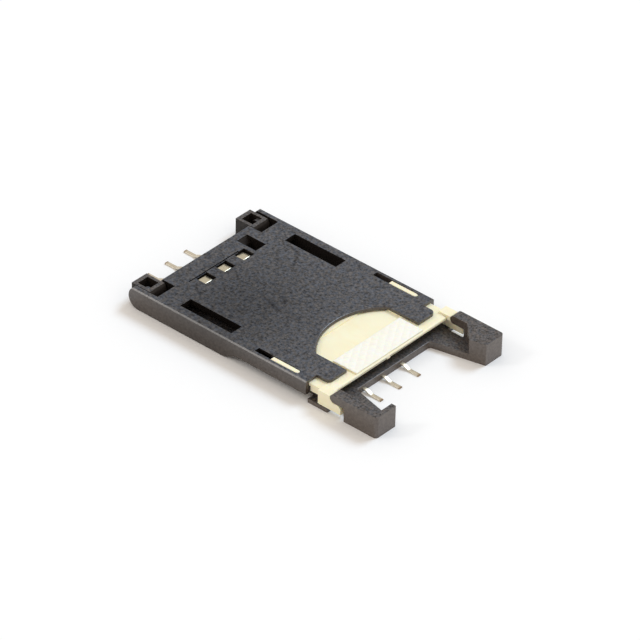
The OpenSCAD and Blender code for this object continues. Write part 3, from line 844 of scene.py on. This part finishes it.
@dataclass
class Contacts:
    """The six spring contacts, three from the cross-bar and three from the hinge end.

    Attributes:
        rows: Middles of the contacts across the socket.
        width: Width of tails and springs.
        level: Height at which the strips lie in the base.
        flat: Height of the tails' middle line on the board.
        point: Height of the contact points.
        front_dip: Drop from the contact point to the front springs' free ends.
        fold: Height of the rear springs above their folds.
        end_level: Height of the rear springs' free ends.
        end_width: Width of the rear springs' free ends.
        end_shift: Sideways offset of the free ends from the tails.
        end_crease: Run over which the corner at the free ends is rounded.
        tail_front: Tip of the front tails.
        tail_rear: Tip of the rear tails.
        cut: Length of bare strip at the tips.
    """

    rows: tuple[float, ...] = (-4.05, -1.51, 1.03)
    width: float = 0.4
    level: float = 0.36
    flat: float = 0.07
    point: float = 1.22
    front_dip: float = 0.35
    fold: float = 0.61
    end_level: float = 1.78
    end_width: float = 1.05
    end_shift: float = 1.1
    end_crease: float = 0.012
    tail_front: float = 12.415
    tail_rear: float = -15.715
    cut: float = 0.2

    def front(self, k: int, y: float) -> Strip:
        """Contact from the cross-bar, tail first.

        Args:
            k: Number of the contact.
            y: Middle of the contact.

        Returns:
            The strip.
        """
        w, tip, top = self.width, self.tail_front, self.point
        return Strip(f"contact_front_{k}", (
            (tip, y, self.flat, w, -1.0), (tip - self.cut, y, self.flat, w, 0.0),
            (11.265, y, self.flat, w, 0.0), (10.565, y, self.level, w, 0.0),
            (8.565, y, self.level, w, 1.0), (3.76, y, top - 0.18, w, 1.0),
            (2.76, y, top, w, 1.0), (1.76, y, top - self.front_dip, w, 1.0)))

    def rear(self, k: int, y: float) -> Strip:
        """Contact from the hinge end, tail first, folded back, with its free end in the lid's window.

        Args:
            k: Number of the contact.
            y: Middle of the contact.

        Returns:
            The strip.
        """
        w, v, end, tip, top = self.width, self.end_width, y + self.end_shift, self.tail_rear, self.end_level
        fold, turn = -1.86, (-2.36, self.fold + (self.point - self.fold) / 6)
        # Share of the way from the turn to the free end at which the contact point lies
        share = 0.385
        return Strip(f"contact_rear_{k}", (
            (tip, y, self.flat, w, -1.0), (tip + self.cut, y, self.flat, w, 0.0),
            (-14.565, y, self.flat, w, 0.0), (-13.865, y, self.level, w, 0.0),
            (fold, y, self.level, w, 1.0), (fold, y, self.fold, w, 1.0), (turn[0], y, turn[1], w, 1.0),
            (-4.86, y + share * self.end_shift, self.point, w + share * (v - w), 1.0),
            (-8.855, end, 1.2, v, 1.0), (-9.235, end, top, v, 1.0), (-10.055, end, top, v, 1.0)),
            crease=self.end_crease)

    def build(self, finish: PlatedStrip) -> None:
        """Builds the six strips.

        Args:
            finish: Finish of the strips.
        """
        material = finish.material("plated_strip")
        for k, y in enumerate(self.rows, start=1):
            self.front(k, y).build(material)
            self.rear(k, y).build(material)


@dataclass
class Camera:
    """Camera at the photograph's angle, fitted to the socket's straight edges.

    Attributes:
        azimuth: Degrees round the socket, 0 looking along +Y.
        elevation: Degrees above the board.
        roll: Degrees round the line of sight.
        place: Place of the camera.
        lens: Focal length on a film 36 mm wide.
    """

    azimuth: float = 40.5405
    elevation: float = 35.6092
    roll: float = 1.5164
    place: tuple[float, float, float] = (264.4731, -307.4059, 291.0264)
    lens: float = 313.598

    def build(self) -> None:
        """Makes the camera and hands it to the scene."""
        a, e, r = (math.radians(v) for v in (self.azimuth, self.elevation, self.roll))
        back = Vector((math.sin(a) * math.cos(e), -math.cos(a) * math.cos(e), math.sin(e)))
        right = Vector((math.cos(a), math.sin(a), 0.0))
        up = back.cross(right)
        axes = (right * math.cos(r) + up * math.sin(r), up * math.cos(r) - right * math.sin(r), back)
        data = bpy.data.cameras.new("studio_camera")
        data.sensor_width = 36.0
        data.lens = self.lens
        data.clip_start, data.clip_end = 0.01, 10.0
        made = bpy.data.objects.new("studio_camera", data)
        made.matrix_world = Matrix.Translation(Vector(self.place) * MM) @ Matrix(axes).transposed().to_4x4()
        bpy.context.scene.collection.objects.link(made)
        bpy.context.scene.camera = made


@dataclass(frozen=True)
class Lamp:
    """A soft lamp so far off that it lights the whole socket alike.

    Attributes:
        name: Name of the lamp.
        share: Its light on the floor on each colour, as a share of full white.
        tilt: Degrees from the vertical.
        bearing: Degrees of its bearing from +X towards +Y.
        spread: Degrees across it.
    """

    name: str
    share: tuple[float, float, float]
    tilt: float
    bearing: float
    spread: float

    def build(self) -> None:
        """Hangs the lamp."""
        tilt, bearing = math.radians(self.tilt), math.radians(self.bearing)
        level = math.sin(tilt)
        away = Vector((math.cos(bearing) * level, math.sin(bearing) * level, math.cos(tilt)))
        peak = max(self.share)
        data = bpy.data.lights.new(self.name, "SUN")
        data.angle = math.radians(self.spread)
        data.color = [part / peak for part in self.share]
        data.energy = peak * math.pi / math.cos(tilt)
        made = bpy.data.objects.new(self.name, data)
        made.rotation_mode = "QUATERNION"
        made.rotation_quaternion = away.to_track_quat("Z", "Y")
        made.location = away
        bpy.context.scene.collection.objects.link(made)
        LOG.info("%s: %.0f degrees from the vertical", self.name, self.tilt)


@dataclass
class Studio:
    """Pale floor in a warm even surround, under a cool soft key and a weak fill that face each other.

    The three lights add up to just over full white on the open floor.

    Attributes:
        half: Half width of the floor.
        surround: Light of the surround on each colour, as a share of full light on the floor.
        bounce: Colour of the floor to the light that bounces off it.
        paper: Colour of the floor to the camera and to what mirrors it.
        key: Lamp at the right.
        fill: Lamp at the back left.
    """

    half: float = 900.0
    surround: tuple[float, float, float] = (0.75, 0.695, 0.635)
    bounce: str = "#efedec"
    paper: str = "#fefefe"
    key: Lamp = Lamp("soft_key", (0.225, 0.28, 0.34), 40.0, 78.0, 24.0)
    fill: Lamp = Lamp("soft_fill", (0.05, 0.05, 0.05), 53.0, 227.0, 12.0)

    def floor(self) -> None:
        """Lays the floor, white to the camera and a little darker to the light that bounces off it."""
        h = self.half
        corner = np.array([[[-h, -h, 0.0], [-h, h, 0.0]], [[h, -h, 0.0], [h, h, 0.0]]])
        mesh = grid_mesh("studio_floor", corner)
        face_up(mesh)
        material = bpy.data.materials.new("matt_white_paper")
        g = Graph(material)
        path = g.node("ShaderNodeLightPath")
        seen = g.node("ShaderNodeMath", {0: path.outputs["Is Camera Ray"], 1: path.outputs["Is Glossy Ray"]},
                      operation="MAXIMUM").outputs[0]
        seen = g.node("ShaderNodeMath", {0: seen, 1: path.outputs["Is Transmission Ray"]},
                      operation="MAXIMUM").outputs[0]
        tone = g.node("ShaderNodeMix", {0: seen, 6: linear(self.bounce), 7: linear(self.paper)},
                      data_type="RGBA").outputs[2]
        paper = g.node("ShaderNodeBsdfDiffuse", {"Color": tone}).outputs[0]
        g.node("ShaderNodeOutputMaterial", {"Surface": paper})
        mesh.materials.append(material)
        made = bpy.data.objects.new("studio_floor", mesh)
        bpy.context.scene.collection.objects.link(made)

    def world(self) -> None:
        """Sets the surround: warm and even, and white where the camera looks past the floor."""
        world = bpy.data.worlds.new("studio_surround")
        g = Graph(world)
        path = g.node("ShaderNodeLightPath").outputs["Is Camera Ray"]
        tone = g.node("ShaderNodeMix", {0: path, 6: (*self.surround, 1.0), 7: (1.0, 1.0, 1.0, 1.0)},
                      data_type="RGBA").outputs[2]
        light = g.node("ShaderNodeBackground", {"Color": tone, "Strength": 1.0}).outputs[0]
        g.node("ShaderNodeOutputWorld", {"Surface": light})
        bpy.context.scene.world = world

    def build(self) -> None:
        """Builds the studio."""
        self.floor()
        self.world()
        self.key.build()
        self.fill.build()


@dataclass
class Socket:
    """The whole socket, dressed.

    Attributes:
        base: The base with its arms and hinge posts.
        lid: The hinged lid.
        lock: The sliding lock.
        pad: Face of the lock's grip pad.
        contacts: The spring contacts.
        base_skin: Finish of the base, warmer and more even than the lid's.
        lid_skin: Finish of the lid, with its weld lines.
        lock_skin: Finish of the lock.
        pad_skin: Finish of the grip pad, paler because its grooves scatter more light.
        plating: Finish of the contacts.
    """

    base: Moulding = field(default_factory=lambda: Moulding(
        "base", Body.BASE, Slot.BLACK, edge=0.08, eased=(
            EasedMouth(level=0.68, width=0.2, back=10.265, front=15.715, half_back=4.93, half_front=6.2),)))
    lid: Moulding = field(default_factory=lambda: Moulding(
        "lid", Body.LID, Slot.BLACK, edge=0.07, eased=(
            EasedArc(level=2.1, width=0.2, middle=9.915, radius=6.6),)))
    lock: Moulding = field(default_factory=lambda: Moulding(
        "lock_slider", Body.LOCK, Slot.IVORY, edge=0.03, eased=(
            EasedRibs(level=2.08, width=0.15, side=7.0),
            EasedFront(level=1.78, width=0.25, front=9.915, half=7.62))))
    pad: GripPad = field(default_factory=GripPad)
    contacts: Contacts = field(default_factory=Contacts)
    base_skin: FilledPolymer = FilledPolymer("#323338", "#433b36", "#4f4640", fade=(0.9, 1.15))
    lid_skin: FilledPolymer = FilledPolymer(weld_lines=(
        WeldLine((-9.6, -4.3), (-7.7, -5.9), bow=0.1, width=0.2, depth=0.4),
        WeldLine((-7.8, 6.2), (-4.9, 3.1), bow=0.75, width=0.24, depth=0.38),
        WeldLine((-3.3, -1.8), (-1.0, -2.5), bow=0.2, width=0.26, depth=0.42),
        WeldLine((-2.7, -0.3), (-1.6, -1.3), bow=0.1, width=0.34, depth=0.3),
        WeldLine((-8.4, -0.2), (-7.2, -1.2), bow=0.05, width=0.2, depth=0.3)))
    lock_skin: IvoryPolymer = IvoryPolymer()
    pad_skin: IvoryPolymer = IvoryPolymer(colour="#fcfbf0", shade="#faf6e4")
    plating: PlatedStrip = PlatedStrip()

    def build(self) -> None:
        """Builds and dresses every piece."""
        self.base.build(self.base_skin.material("filled_polymer_base"))
        self.lid.build(self.lid_skin.material("filled_polymer_lid"))
        self.lock.build(self.lock_skin.material("ivory_polymer"))
        self.pad.build(self.pad_skin.material("ivory_polymer_grip"))
        self.contacts.build(self.plating)


def main() -> None:
    """Builds the scene."""
    logging.basicConfig(level=logging.INFO, format="%(name)s: %(message)s")
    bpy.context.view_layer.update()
    bpy.context.scene.view_settings.view_transform = "Standard"
    Studio().build()
    Camera().build()
    Socket().build()


if __name__ == "__main__":
    main()
